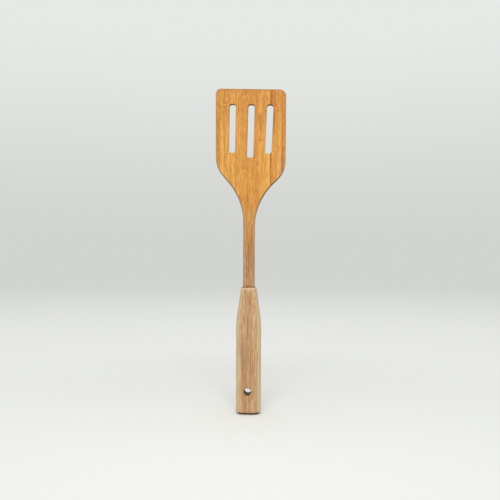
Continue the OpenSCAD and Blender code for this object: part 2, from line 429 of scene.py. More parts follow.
def round_bar(levels, name):
    """An upright bar through (height, radius) levels, from the lowest to the highest."""
    rings = [[Vector((u, w, z)) for u, w in circle(r, HOLE_STEPS)] for z, r in levels]
    return as_object(loft(rings), name)


def tenon_bar():
    tip_z = HANDLE_L - TENON_L
    tip_r = TENON_D / 2 - TENON_CHAMFER
    levels = [(tip_z, tip_r), (tip_z + TENON_CHAMFER, TENON_D / 2), (HANDLE_L + OVER, TENON_D / 2)]
    return round_bar(levels, "tenon_bar")


def socket_tool():
    r = TENON_D / 2 + TENON_GAP
    return round_bar([(HANDLE_L - TENON_L - TENON_END_GAP, r), (HANDLE_L + OVER, r)], "socket_tool")


def head_blank():
    """The whole head with its slots and tenon, before it is parted into strips."""
    blank = as_object(loft([head_section(z) for z in head_heights()]), "head_blank")
    for n in (-1, 0, 1):
        combine(blank, slot_tool(n), "DIFFERENCE")
    combine(blank, tenon_bar(), "UNION")
    return blank


def handle_blank():
    """The whole handle with its socket and hanging hole, before it is parted into strips."""
    blank = as_object(loft([handle_section(z) for z in handle_heights()]), "handle_blank")
    combine(blank, socket_tool(), "DIFFERENCE")
    combine(blank, hang_tool(), "DIFFERENCE")
    return blank


def part_at(bm, x, side):
    """Cuts a mesh at an upright plane and keeps what lies on that side, closed by a flat face."""
    geom = bm.verts[:] + bm.edges[:] + bm.faces[:]
    bmesh.ops.bisect_plane(
        bm, geom=geom, dist=ON_PLANE, plane_co=(x, 0, 0), plane_no=(-side, 0, 0), clear_outer=True
    )
    rim = [e for e in bm.edges if e.is_boundary]
    bmesh.ops.holes_fill(bm, edges=rim, sides=0)


def ease_line(bm, x, side):
    """Eases the edges that a strip has along one glue line."""
    geom = bm.verts[:] + bm.edges[:] + bm.faces[:]
    ease_x = x + side * LINE_EASE_W
    bmesh.ops.bisect_plane(bm, geom=geom, dist=ON_PLANE, plane_co=(ease_x, 0, 0), plane_no=(1, 0, 0))
    bm.normal_update()
    moves = []
    for v in bm.verts:
        if abs(v.co.x - x) > SAME_POINT:
            continue
        outer = [f for f in v.link_faces if abs(f.normal.x) < GLUED_FACE]
        inner = [f for f in v.link_faces if abs(f.normal.x) >= GLUED_FACE]
        if not outer or not inner:
            continue
        out = sum((f.normal * f.calc_area() for f in outer), Vector())
        out.x = 0
        if out.length > 0:
            moves.append((v, out.normalized() * LINE_EASE_D))
    for v, move in moves:
        v.co -= move


def strip(blank, name, x0, x1, values):
    """One strip of a blank between two glue lines, None where the blank's own side ends it."""
    bm = bmesh.new()
    bm.from_mesh(blank.data)
    bmesh.ops.triangulate(bm, faces=bm.faces)
    for x, side in ((x0, 1), (x1, -1)):
        if x is not None:
            part_at(bm, x, side)
            ease_line(bm, x, side)
    bmesh.ops.remove_doubles(bm, verts=bm.verts, dist=SAME_POINT)
    bmesh.ops.recalc_face_normals(bm, faces=bm.faces)
    for face in bm.faces:
        face.smooth = True
    made = as_object(bm, name)
    made.data.set_sharp_from_angle(angle=SHARP_TURN)
    weigh = made.modifiers.new("even_normals", "WEIGHTED_NORMAL")
    weigh.keep_sharp = True
    for key, value in values.items():
        layer = made.data.attributes.new(key, "FLOAT", "POINT")
        layer.data.foreach_set("value", [value] * len(made.data.vertices))
    return made


def glue_lines(node, count):
    """Places of the glue lines between numbered nodes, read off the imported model."""
    return [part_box(node(n))[0].x for n in range(2, count + 1)]


def build_strips(blank, node, looks, material):
    """Parts a blank into strips, each with its own looks, that take the place of the plain nodes."""
    count = len(looks)
    xs = [None] + glue_lines(node, count) + [None]
    left_dark = 0
    for n, (tone, end_tone, rise, right_dark, red, node_z) in enumerate(looks, 1):
        values = {
            "tone": tone,
            "end_tone": end_tone,
            "seed": n * SEED_STEP,
            "left_x": xs[n - 1] if n > 1 else -NO_LINE_X,
            "right_x": xs[n] if n < count else NO_LINE_X,
            "left_dark": left_dark,
            "right_dark": right_dark,
            "rise": rise,
            "red": red,
            "node_z": node_z,
        }
        made = strip(blank, node(n) + "_bamboo", xs[n - 1], xs[n], values)
        made.data.materials.append(material)
        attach(made, "root")
        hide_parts(node(n))
        left_dark = right_dark
    bpy.data.objects.remove(blank)


# Looks of the strips of the head, from left to right: tone below the slots and at the lip, from dark,
# 0, to light, 1; how much the tone rises from the strip's left side to its right; how dark the glue
# line to its right is; how red its grain is; and height of its node, 0 where it has none
HEAD_LOOKS = (
    (0.26, 0.44, 0.1, 0.25, 0.1, 315 * MM),
    (0.51, 0.40, 0.5, 0.30, 0.1, 312 * MM),
    (0.50, 0.34, 0.1, 0.12, 0.1, 317 * MM),
    (0.54, 0.50, 0.2, 0.45, 0.1, 0),
    (0.54, 0.46, -0.1, 0.12, 0.1, 0),
    (0.53, 0.32, -0.1, 0.20, 0.2, 249 * MM),
    (0.48, 0.30, 0.0, 0.12, 0.2, 0),
    (0.46, 0.29, 0.0, 0.08, 0.3, 0),
    (0.58, 0.38, 0.0, 0.05, 0.2, 278 * MM),
    (0.76, 0.43, 0.3, 0.80, 0.0, 0),
    (0.48, 0.05, 0.2, 0.10, 0.5, 0),
    (0.58, 0.38, 0.35, 0.65, 0.1, 244 * MM),
    (0.44, 0.36, 0.1, 0.00, 0.3, 0),
)
# The same for the handle, whose two tones are those at the butt and at the top end
# Its two outer strips are lighter, partly in their own tone and partly as painted sheen on the rounded
# sides.
HANDLE_LOOKS = (
    (0.66, 0.66, 0.2, 0.05, 0.0, 96 * MM),
    (0.52, 0.58, -0.3, 0.40, 0.3, 0),
    (0.43, 0.46, -0.2, 0.50, 0.6, 0),
    (0.50, 0.50, -0.1, 0.42, 0.1, 0),
    (0.90, 0.90, 0.3, 0.00, 0.0, 79 * MM),
)
# Step from strip to strip of the seed that moves their grain apart
SEED_STEP = 7.31
# Far enough off that the two outer sides, which have no glue line, show none
NO_LINE_X = 1
# Heights between which a strip's tone goes over from the one to the other
HEAD_TURN = (278 * MM, 308 * MM)
HANDLE_TURN = (40 * MM, 110 * MM)

# Mineral streaks, one pale patch and a small dark spot at the handle's top corner: place across,
# height, half width, half length, strength and colour
RED_BROWN = (150, 78, 28)
GREY_BROWN = (120, 84, 62)
PALE_BROWN = (200, 160, 135)
HONEY = (240, 178, 78)
HEAD_STREAKS = (
    (-0.3 * MM, 156 * MM, 1.5 * MM, 22 * MM, 0.6, GREY_BROWN),
    (-0.4 * MM, 129 * MM, 0.8 * MM, 16 * MM, 0.6, GREY_BROWN),
    (2.6 * MM, 176 * MM, 0.7 * MM, 16 * MM, 0.4, RED_BROWN),
    (10.9 * MM, 309 * MM, 3.6 * MM, 9 * MM, 0.4, HONEY),
    (22.7 * MM, 321 * MM, 0.8 * MM, 15 * MM, 0.6, RED_BROWN),
    (25.0 * MM, 296 * MM, 1.2 * MM, 16 * MM, 0.5, RED_BROWN),
    (32.0 * MM, 254 * MM, 3.0 * MM, 14 * MM, 0.2, PALE_BROWN),
    (33.8 * MM, 252 * MM, 1.9 * MM, 19 * MM, 0.45, GREY_BROWN),
)
HANDLE_STREAKS = (
    (-7.9 * MM, 60 * MM, 0.6 * MM, 15 * MM, 0.6, GREY_BROWN),
    (-5.4 * MM, 58 * MM, 1.8 * MM, 26 * MM, 0.5, GREY_BROWN),
    (-0.1 * MM, 91 * MM, 1.5 * MM, 17 * MM, 0.4, GREY_BROWN),
    (-1.6 * MM, 62 * MM, 0.9 * MM, 24 * MM, 0.3, GREY_BROWN),
    (1.2 * MM, 116 * MM, 1.1 * MM, 9 * MM, 0.4, GREY_BROWN),
    (-2.4 * MM, 101 * MM, 0.6 * MM, 16 * MM, 0.4, GREY_BROWN),
    (7.1 * MM, 126.2 * MM, 0.8 * MM, 1.4 * MM, 0.9, GREY_BROWN),
)

# The effects below measure in millimetres. A grain is given by its width, its length and its detail

# How far one unit of seed moves the grain along each axis
SEED_MOVE = (1.7, 0.9, 5.3)
# Span of the noise between its darkest and its lightest
NOISE_SPAN = (0.3, 0.7)

# Share of a glue line's half width that is fully dark, and width and strength of the thin seam on
# the other side of the joint
LINE_CORE_SHARE = 0.3
SEAM_W = 0.2
SEAM_SHARE = 0.6

# Node: the grain that it waves with and how far, the grain that breaks it up and the span of that
# which does, distances from its middle where the dark band is full and where it ends, the same for
# the pale line, how far below the band that lies, and how strongly each shows
NODE_WAVE_GRAIN = (1.3, 5.0, 2.0)
NODE_WAVE = 6
NODE_BREAK_GRAIN = (0.45, 2.0, 1.0)
NODE_BREAK_SPAN = (0.42, 0.62)
NODE_DARK_SPAN = (0.2, 2.4)
NODE_PALE_SPAN = (0.2, 1.8)
NODE_PALE_DROP = 3.1
NODE_DARK_SHARE = 0.4
NODE_PALE_SHARE = 0.3

# Streak: the grain that makes its sides ragged and how much, and the span of the squared distance
# from its middle, as a share of its half width, in which it ends
STREAK_GRAIN = (0.7, 14.0, 2.0)
STREAK_RAGGED = 2
STREAK_SPAN = (0.1, 1.1)

# Span of the normal's share towards the front in which a surface goes over from facing there to being
# turned away, and span of its upright share in which it goes over to being cut square
TURNED_SPAN = (0.95, 0.25)
SQUARE_SPAN = (0.8, 0.97)

# Fibre ends on square cuts: width and length of a fibre, span of the distance from its middle, as a
# share of its width, in which its dot goes over from none to full, and how strongly the dots show
FIBRE_W = 0.5
FIBRE_L = 30.0
FIBRE_DOT_SPAN = (0.45, 0.2)
FIBRE_DOT_SHARE = 0.45

# Fibre bundles: their grain, the noise above which there is one on a strip's loose and on its dense
# side, how soft their sides are, and how fast the rise of the tone leads from the one to the other
BUNDLE_GRAIN = (0.55, 12.0, 1.0)
BUNDLE_CUTS = (0.66, 0.52)
BUNDLE_SOFT = 0.08
BUNDLE_RISE = 2

# Roughness that fibres and bundles add, and height of fibres and fine grain and depth of bundles and
# glue lines as shares of the relief
FIBRE_ROUGH = 0.12
BUNDLE_ROUGH = 0.06
FIBRE_HEIGHT = 0.3
FINE_HEIGHT = 0.3
BUNDLE_DEPTH = 0.35
LINE_DEPTH = 0.3
BUMP_STRENGTH = 0.6


# Node trees

def feed(tree, socket, value):
    """Links a socket to another node's output, or sets it to a plain value."""
    if isinstance(value, bpy.types.NodeSocket):
        tree.links.new(value, socket)
    else:
        socket.default_value = value


def shader_group(name, inputs, outputs):
    """An empty node group with named sockets, with what it is given and what it puts out."""
    tree = bpy.data.node_groups.new(name, "ShaderNodeTree")
    for socket, kind in inputs:
        tree.interface.new_socket(socket, in_out="INPUT", socket_type="NodeSocket" + kind)
    for socket, kind in outputs:
        tree.interface.new_socket(socket, in_out="OUTPUT", socket_type="NodeSocket" + kind)
    return tree, tree.nodes.new("NodeGroupInput").outputs, tree.nodes.new("NodeGroupOutput").inputs


def placed(tree, group, **values):
    """A group placed in a tree with its own values, an underscore standing for a space."""
    node = tree.nodes.new("ShaderNodeGroup")
    node.node_tree = group
    for key, value in values.items():
        feed(tree, node.inputs[key.replace("_", " ")], value)
    return node.outputs


def calc(tree, operation, *values):
    node = tree.nodes.new("ShaderNodeMath")
    node.operation = operation
    for socket, value in zip(node.inputs, values):
        feed(tree, socket, value)
    return node.outputs[0]


def vector_calc(tree, operation, *values):
    node = tree.nodes.new("ShaderNodeVectorMath")
    node.operation = operation
    for socket, value in zip(node.inputs, values):
        feed(tree, socket, value)
    return node.outputs["Value" if operation == "LENGTH" else "Vector"]


def vector(tree, x, y, z):
    node = tree.nodes.new("ShaderNodeCombineXYZ")
    for socket, value in zip(node.inputs, (x, y, z)):
        feed(tree, socket, value)
    return node.outputs[0]


def parts_of(tree, value):
    """The three parts of a place, a direction or a normal."""
    node = tree.nodes.new("ShaderNodeSeparateXYZ")
    feed(tree, node.inputs[0], value)
    return node.outputs


def between(tree, value, low, high):
    """A smooth step from 0 at low to 1 at high."""
    node = tree.nodes.new("ShaderNodeMapRange")
    node.interpolation_type = "SMOOTHSTEP"
    feed(tree, node.inputs["Value"], value)
    feed(tree, node.inputs["From Min"], low)
    feed(tree, node.inputs["From Max"], high)
    return node.outputs["Result"]


def other_than(tree, share):
    """What a share leaves of 1."""
    return calc(tree, "SUBTRACT", 1, share)


def swing(tree, value, amount):
    """A value from 0 to 1 made to swing round 0, by an amount from end to end."""
    return calc(tree, "MULTIPLY", calc(tree, "SUBTRACT", value, 0.5), amount)


# The sockets of a Mix node share their names, so these two take them by number

def blend(tree, share, colour, other):
    """The colour between two others at a share."""
    node = tree.nodes.new("ShaderNodeMix")
    node.data_type = "RGBA"
    for index, value in ((0, share), (6, colour), (7, other)):
        feed(tree, node.inputs[index], value)
    return node.outputs[2]


def mixed(tree, share, low, high):
    """The value between two others at a share."""
    node = tree.nodes.new("ShaderNodeMix")
    for index, value in ((0, share), (2, low), (3, high)):
        feed(tree, node.inputs[index], value)
    return node.outputs[0]


def attribute(tree, name):
    node = tree.nodes.new("ShaderNodeAttribute")
    node.attribute_name = name
    return node.outputs["Fac"]


def object_place(tree):
    return tree.nodes.new("ShaderNodeTexCoord").outputs["Object"]


def object_normal(tree):
    return tree.nodes.new("ShaderNodeTexCoord").outputs["Normal"]


def grain_at(tree, grain, place, size):
    """The value of a long grain of a width, a length and a detail at a place."""
    width, length, detail = size
    return placed(tree, grain, Place=place, Width=width, Length=length, Detail=detail)["Value"]


# Effects that both kinds of bamboo share

def strip_place_group():
    """A place in millimetres, moved by the strip's seed so that no two strips have the same grain."""
    tree, given, result = shader_group("strip_place", [("Seed", "Float")], [("Place", "Vector")])
    in_mm = vector_calc(tree, "MULTIPLY", object_place(tree), (1 / MM, 1 / MM, 1 / MM))
    moves = [calc(tree, "MULTIPLY", given["Seed"], move) for move in SEED_MOVE]
    feed(tree, result["Place"], vector_calc(tree, "ADD", in_mm, vector(tree, *moves)))
    return tree


def long_grain_group():
    """Noise drawn out along the strip to a width and a length."""
    tree, given, result = shader_group(
        "long_grain",
        [("Place", "Vector"), ("Width", "Float"), ("Length", "Float"), ("Detail", "Float")],
        [("Value", "Float")],
    )
    size = vector(tree, given["Width"], given["Width"], given["Length"])
    noise = tree.nodes.new("ShaderNodeTexNoise")
    noise.inputs["Scale"].default_value = 1
    feed(tree, noise.inputs["Vector"], vector_calc(tree, "DIVIDE", given["Place"], size))
    feed(tree, noise.inputs["Detail"], given["Detail"])
    feed(tree, result["Value"], noise.outputs["Fac"])
    return tree


def strip_sides_group():
    """Distances from the strip's two glue lines, and the share of the way across it."""
    tree, given, result = shader_group(
        "strip_sides",
        [("Left X", "Float"), ("Right X", "Float")],
        [("Left", "Float"), ("Right", "Float"), ("Across", "Float")],
    )
    x = parts_of(tree, object_place(tree))[0]
    left = calc(tree, "DIVIDE", calc(tree, "SUBTRACT", x, given["Left X"]), MM)
    right = calc(tree, "DIVIDE", calc(tree, "SUBTRACT", given["Right X"], x), MM)
    feed(tree, result["Left"], left)
    feed(tree, result["Right"], right)
    feed(tree, result["Across"], calc(tree, "DIVIDE", left, calc(tree, "ADD", left, right)))
    return tree


def glue_line_group():
    """A dark line just inside the strip's left side, and a thinner one along its right side."""
    tree, given, result = shader_group(
        "glue_line",
        [
            ("Left", "Float"), ("Right", "Float"), ("Left Dark", "Float"), ("Right Dark", "Float"),
            ("Inset", "Float"), ("Half Width", "Float"),
        ],
        [("Mask", "Float")],
    )
    off = calc(tree, "ABSOLUTE", calc(tree, "SUBTRACT", given["Left"], given["Inset"]))
    core = calc(tree, "MULTIPLY", given["Half Width"], LINE_CORE_SHARE)
    band = other_than(tree, between(tree, off, core, given["Half Width"]))
    band = calc(tree, "MULTIPLY", band, given["Left Dark"])
    seam = other_than(tree, between(tree, given["Right"], 0, SEAM_W))
    seam = calc(tree, "MULTIPLY", seam, calc(tree, "MULTIPLY", given["Right Dark"], SEAM_SHARE))
    feed(tree, result["Mask"], calc(tree, "MAXIMUM", band, seam))
    return tree


def node_band_group(grain):
    """The dark band and the pale line that a node of the culm leaves across a strip."""
    tree, given, result = shader_group(
        "node_band", [("Place", "Vector"), ("Height", "Float")], [("Dark", "Float"), ("Pale", "Float")]
    )
    z = parts_of(tree, object_place(tree))[2]
    above = calc(tree, "DIVIDE", calc(tree, "SUBTRACT", z, given["Height"]), MM)
    wave = grain_at(tree, grain, given["Place"], NODE_WAVE_GRAIN)
    above = calc(tree, "ADD", above, swing(tree, wave, NODE_WAVE))
    broken = grain_at(tree, grain, given["Place"], NODE_BREAK_GRAIN)
    dark = other_than(tree, between(tree, calc(tree, "ABSOLUTE", above), *NODE_DARK_SPAN))
    feed(tree, result["Dark"], calc(tree, "MULTIPLY", dark, between(tree, broken, *NODE_BREAK_SPAN)))
    pale = calc(tree, "ABSOLUTE", calc(tree, "ADD", above, NODE_PALE_DROP))
    feed(tree, result["Pale"], other_than(tree, between(tree, pale, *NODE_PALE_SPAN)))
    return tree


def streak_group(grain):
    """A long lens of mineral stain, ragged along its sides."""
    tree, given, result = shader_group(
        "mineral_streak",
        [
            ("Place", "Vector"), ("X", "Float"), ("Z", "Float"), ("Half Width", "Float"),
            ("Half Length", "Float"), ("Strength", "Float"),
        ],
        [("Mask", "Float")],
    )
    at = parts_of(tree, object_place(tree))
    across = calc(tree, "DIVIDE", calc(tree, "SUBTRACT", at[0], given["X"]), given["Half Width"])
    along = calc(tree, "DIVIDE", calc(tree, "SUBTRACT", at[2], given["Z"]), given["Half Length"])
    far = calc(tree, "ADD", calc(tree, "MULTIPLY", across, across), calc(tree, "MULTIPLY", along, along))
    ragged = grain_at(tree, grain, given["Place"], STREAK_GRAIN)
    far = calc(tree, "SUBTRACT", far, swing(tree, ragged, STREAK_RAGGED))
    lens = other_than(tree, between(tree, far, *STREAK_SPAN))
    feed(tree, result["Mask"], calc(tree, "MULTIPLY", lens, given["Strength"]))
    return tree


def faces_group():
    """How far a surface is turned up, down, to the sides, and away from the front and the back."""
    tree, given, result = shader_group(
        "faces",
        [
            ("Up From", "Float"), ("Up To", "Float"), ("Down From", "Float"), ("Down To", "Float"),
            ("Side From", "Float"), ("Side To", "Float"),
        ],
        [("Up", "Float"), ("Down", "Float"), ("Side", "Float"), ("Turned", "Float")],
    )
    normal = parts_of(tree, object_normal(tree))
    turns = {
        "Up": normal[2],
        "Down": calc(tree, "MULTIPLY", normal[2], -1),
        "Side": calc(tree, "ABSOLUTE", normal[0]),
    }
    for way, turn in turns.items():
        feed(tree, result[way], between(tree, turn, given[way + " From"], given[way + " To"]))
    feed(tree, result["Turned"], between(tree, calc(tree, "ABSOLUTE", normal[1]), *TURNED_SPAN))
    return tree


def end_grain_group():
    """Dark dots of fibre ends on faces that are cut square across the strip."""
    tree, given, result = shader_group(
        "end_grain", [("Place", "Vector"), ("Width", "Float"), ("Length", "Float")], [("Dots", "Float")]
    )
    upright = calc(tree, "ABSOLUTE", parts_of(tree, object_normal(tree))[2])
    size = vector(tree, given["Width"], given["Width"], given["Length"])
    cells = tree.nodes.new("ShaderNodeTexVoronoi")
    cells.inputs["Scale"].default_value = 1
    feed(tree, cells.inputs["Vector"], vector_calc(tree, "DIVIDE", given["Place"], size))
    dots = between(tree, cells.outputs["Distance"], *FIBRE_DOT_SPAN)
    feed(tree, result["Dots"], calc(tree, "MULTIPLY", dots, between(tree, upright, *SQUARE_SPAN)))
    return tree


def shaded_walls_group():
    """The walls of openings between two heights and within a distance of the middle line, which take
    painted shade.
    """
    tree, given, result = shader_group(
        "painted_wall_shade",
        [
            ("Turned", "Float"), ("Low", "Float"), ("High", "Float"), ("Middle", "Float"),
            ("Reach", "Float"),
        ],
        [("Mask", "Float")],
    )
    at = parts_of(tree, object_place(tree))
    above = calc(tree, "GREATER_THAN", at[2], given["Low"])
    below = calc(tree, "LESS_THAN", at[2], given["High"])
    off = calc(tree, "ABSOLUTE", calc(tree, "SUBTRACT", at[0], given["Middle"]))
    near = calc(tree, "LESS_THAN", off, given["Reach"])
    within = calc(tree, "MULTIPLY", calc(tree, "MULTIPLY", above, below), near)
    feed(tree, result["Mask"], calc(tree, "MULTIPLY", within, given["Turned"]))
    return tree


def effect_groups():
    grain = long_grain_group()
    return {
        "place": strip_place_group(),
        "grain": grain,
        "sides": strip_sides_group(),
        "line": glue_line_group(),
        "node": node_band_group(grain),
        "streak": streak_group(grain),
        "faces": faces_group(),
        "ends": end_grain_group(),
        "walls": shaded_walls_group(),
    }


# Materials

def linear(r, g, b):
    """A colour given in display values from 0 to 255."""
    def one(v):
        v /= 255
        return v / 12.92 if v <= 0.04045 else ((v + 0.055) / 1.055) ** 2.4
    return (one(r), one(g), one(b), 1)


def tint(tree, colour, mask, share, shade):
    """A colour with a shade blended in where the mask is, at a share."""
    return blend(tree, calc(tree, "MULTIPLY", mask, share), colour, linear(*shade))


def tone_colour(tree, tone, shades):
    """The colour of a tone on a scale of three shades, from dark to light."""
    ramp = tree.nodes.new("ShaderNodeValToRGB")
    stops = ramp.color_ramp.elements
    stops.new(0.5)
    for stop, shade in zip(stops, shades):
        stop.color = linear(*shade)
    feed(tree, ramp.inputs[0], tone)
    return ramp.outputs[0]


def clear_wood(tree, z, tone, looks):
    """The colour of a tone, duller where the looks have less oil."""
    colour = tone_colour(tree, tone, looks["fresh"])
    for low, high, share in looks["dulled"]:
        dull = tone_colour(tree, tone, looks["dull"])
        colour = blend(tree, calc(tree, "MULTIPLY", between(tree, z, low, high), share), colour, dull)
    return colour


def fibre_bundles(tree, groups, place, rise):
    """Where fibre bundles are, closer together on a strip's dense side."""
    dense = calc(tree, "SUBTRACT", 0.5, calc(tree, "MULTIPLY", rise, BUNDLE_RISE))
    cut = mixed(tree, dense, *BUNDLE_CUTS)
    noise = grain_at(tree, groups["grain"], place, BUNDLE_GRAIN)
    return between(tree, noise, cut, calc(tree, "ADD", cut, BUNDLE_SOFT))


def add_node(tree, groups, place, colour, looks):
    """Blends in the pale line and the dark band of a strip's node."""
    band = placed(tree, groups["node"], Place=place, Height=attribute(tree, "node_z"))
    colour = tint(tree, colour, band["Pale"], NODE_PALE_SHARE, looks["fresh"][2])
    return tint(tree, colour, band["Dark"], NODE_DARK_SHARE, looks["stain"])


def add_streaks(tree, groups, place, colour, streaks):
    """Blends in mineral streaks, each with its own shade."""
    for x, z, half_w, half_l, strength, shade in streaks:
        lens = placed(
            tree, groups["streak"], Place=place, X=x, Z=z, Half_Width=half_w, Half_Length=half_l,
            Strength=strength,
        )
        colour = blend(tree, lens["Mask"], colour, linear(*shade))
    return colour


def line_mask(tree, groups, sides, looks):
    """How dark the glue lines on both sides of a strip are."""
    return placed(
        tree, groups["line"], Left=sides["Left"], Right=sides["Right"],
        Left_Dark=attribute(tree, "left_dark"), Right_Dark=attribute(tree, "right_dark"),
        Inset=looks["line_inset"], Half_Width=looks["line_half_w"],
    )["Mask"]


def add_end_grain_and_painted_light(tree, groups, colour, looks):
    """Blends in darker end grain where faces turn up, painted shade, partly darker end grain, where they
    turn down, painted sheen where they turn to the sides, and painted shade on the walls of openings.
    """
    spans = {}
    for way, (low, high, share, shade) in looks["end_grain_and_painted_light"].items():
        spans[way + "_From"] = low
        spans[way + "_To"] = high
    faces = placed(tree, groups["faces"], **spans)
    for way, (low, high, share, shade) in looks["end_grain_and_painted_light"].items():
        colour = tint(tree, colour, faces[way], share, shade)
    # Painted shade on the walls of openings.
    low, high, middle, reach, share, shade = looks["walls"]
    walls = placed(
        tree, groups["walls"], Turned=faces["Turned"], Low=low, High=high, Middle=middle, Reach=reach
    )
    return tint(tree, colour, walls["Mask"], share, shade)


def add_fibre_ends(tree, groups, place, colour, looks):
    """Blends in the dots of fibre ends on square cuts."""
    dots = placed(tree, groups["ends"], Place=place, Width=FIBRE_W, Length=FIBRE_L)["Dots"]
    return tint(tree, colour, dots, FIBRE_DOT_SHARE, looks["stain"])


def surface_bump(tree, layers, bundles, line, relief):
    """The normal of a surface whose fibres stand out between its bundles and glue lines."""
    fibres = calc(tree, "MULTIPLY", layers["fibre"], FIBRE_HEIGHT)
    height = calc(tree, "ADD", fibres, calc(tree, "MULTIPLY", layers["fine"], FINE_HEIGHT))
    height = calc(tree, "SUBTRACT", height, calc(tree, "MULTIPLY", bundles, BUNDLE_DEPTH))
    height = calc(tree, "SUBTRACT", height, calc(tree, "MULTIPLY", line, LINE_DEPTH))
    bump = tree.nodes.new("ShaderNodeBump")
    bump.inputs["Strength"].default_value = BUMP_STRENGTH
    bump.inputs["Distance"].default_value = relief
    feed(tree, bump.inputs["Height"], height)
    return bump.outputs[0]


def bamboo(name, groups, looks):
    """Laminated bamboo with its grain, fibres, nodes, glue lines and darker end grain, and with painted
    shade and painted sheen by the way its faces turn.
    """
    material = bpy.data.materials.new(name)
    material.use_nodes = True
    tree = material.node_tree
    place = placed(tree, groups["place"], Seed=attribute(tree, "seed"))["Place"]
    sides = placed(
        tree, groups["sides"], Left_X=attribute(tree, "left_x"), Right_X=attribute(tree, "right_x")
    )
    z = parts_of(tree, object_place(tree))[2]
    turned = between(tree, z, *looks["turn"])
    end_share = mixed(tree, turned, 1, looks["end_share"])
    rise = swing(tree, sides["Across"], attribute(tree, "rise"))
    rise = calc(tree, "MULTIPLY", rise, end_share)

    # Tone along and across the strip
    tone = mixed(tree, turned, attribute(tree, "tone"), attribute(tree, "end_tone"))
    layers = {}
    for key, (width, length, detail, amount) in looks["layers"].items():
        noise = grain_at(tree, groups["grain"], place, (width, length, detail))
        layers[key] = between(tree, noise, *NOISE_SPAN)
        tone = calc(tree, "ADD", tone, swing(tree, layers[key], amount))
    tone = calc(tree, "ADD", tone, rise)

    # Wood with its blush, fibre bundles, node, streaks and glue lines
    colour = clear_wood(tree, z, tone, looks)
    blush = between(tree, grain_at(tree, groups["grain"], place, looks["blush_grain"]), *NOISE_SPAN)
    colour = tint(tree, colour, blush, attribute(tree, "red"), looks["blush"])
    bundles = fibre_bundles(tree, groups, place, rise)
    colour = tint(tree, colour, bundles, looks["bundles"], looks["bundle"])
    colour = add_node(tree, groups, place, colour, looks)
    colour = add_streaks(tree, groups, place, colour, looks["streaks"])
    line = calc(tree, "MULTIPLY", line_mask(tree, groups, sides, looks), end_share)
    colour = blend(tree, line, colour, linear(*looks["line"]))

    # Faces by the way they turn (darker end grain, painted shade, painted sheen), painted shade in
    # openings, fades by height (mostly painted shade and highlight) and fibre ends
    colour = add_end_grain_and_painted_light(tree, groups, colour, looks)
    for low, high, share, shade in looks["fades"]:
        colour = tint(tree, colour, between(tree, z, low, high), share, shade)
    colour = add_fibre_ends(tree, groups, place, colour, looks)

    shader = tree.nodes["Principled BSDF"]
    feed(tree, shader.inputs["Base Color"], colour)
    rough = calc(tree, "ADD", looks["rough"], swing(tree, layers["fibre"], FIBRE_ROUGH))
    rough = calc(tree, "ADD", rough, calc(tree, "MULTIPLY", bundles, BUNDLE_ROUGH))
    feed(tree, shader.inputs["Roughness"], rough)
    shader.inputs["Specular IOR Level"].default_value = looks["gloss"]
    feed(tree, shader.inputs["Normal"], surface_bump(tree, layers, bundles, line, looks["relief"]))
    return material


# Looks of the two kinds of bamboo. Colours have display values from 0 to 255. Fresh and dull are the
# shades of a dark, a middle and a light tone, and dulled says between which heights, and how much, the
# one goes over to the other. Layers of grain have a width, a length and a detail, and how much they
# change the tone. Turn holds the heights between which a strip's tone goes over to that of its other
# end, and end_share what is left there of glue lines and rise. Faces turned up, down or to the sides,
# which carry darker end grain, painted shade and painted sheen, have the span of the normal in which
# they begin, a share and a colour; walls, which carry painted shade in openings, two heights, a middle,
# a reach, a share and a colour; fades, several of them painted shade or a painted highlight, two
# heights, a share and a colour.
OILED = {
    "fresh": ((170, 106, 42), (206, 144, 64), (233, 181, 92)),
    "dull": ((120, 82, 54), (170, 131, 93), (212, 178, 140)),
    "dulled": ((222 * MM, 186 * MM, 0.5), (178 * MM, 146 * MM, 0.8)),
    "turn": HEAD_TURN,
    "end_share": 0.4,
    "layers": {
        "cloud": (9.0, 60.0, 1.0, 0.12),
        "broad": (1.2, 30.0, 1.0, 0.27),
        "fibre": (0.4, 22.0, 1.0, 0.3),
        "fleck": (0.5, 5.5, 1.0, 0.42),
        "ripple": (3.0, 1.2, 1.0, 0.14),
        "fine": (0.2, 8.0, 1.0, 0.1),
    },
    "blush": (206, 124, 52),
    "blush_grain": (1.3, 14.0, 1.0),
    "bundle": (182, 104, 42),
    "bundles": 0.35,
    "stain": (132, 72, 28),
    "streaks": HEAD_STREAKS,
    "line": (156, 94, 38),
    "line_inset": 0.95,
    "line_half_w": 0.75,
    "end_grain_and_painted_light": {
        # Side: painted sheen, paler and greyer where faces turn to the sides.
        "Side": (0.05, 0.7, 0.62, (176, 148, 108)),
        # Up: darker end grain.
        "Up": (0.3, 0.9, 0.5, (150, 100, 56)),
        # Down: painted shade on faces turned down, such as the shoulders' flanks and the slots' top ends,
        # partly darker end grain.
        "Down": (0.08, 0.5, 0.72, (102, 68, 40)),
    },
    # Painted shade on the walls of the slots.
    "walls": (TOTAL_L - 72 * MM, TOTAL_L - 11 * MM, BLADE_SHIFT, 31 * MM, 0.5, (138, 90, 46)),
    "fades": (
        # Painted shade along the lip, where the bevel turns up towards the lamp.
        (TOTAL_L - 5.5 * MM, TOTAL_L - 1 * MM, 0.35, (168, 106, 52)),
        # Painted shade at the neck's end, where it goes into the handle.
        (HANDLE_L + 1.1 * MM, HANDLE_L + 0.2 * MM, 0.5, (110, 74, 46)),
    ),
    "rough": 0.55,
    "gloss": 0.25,
    "relief": 0.05 * MM,
}
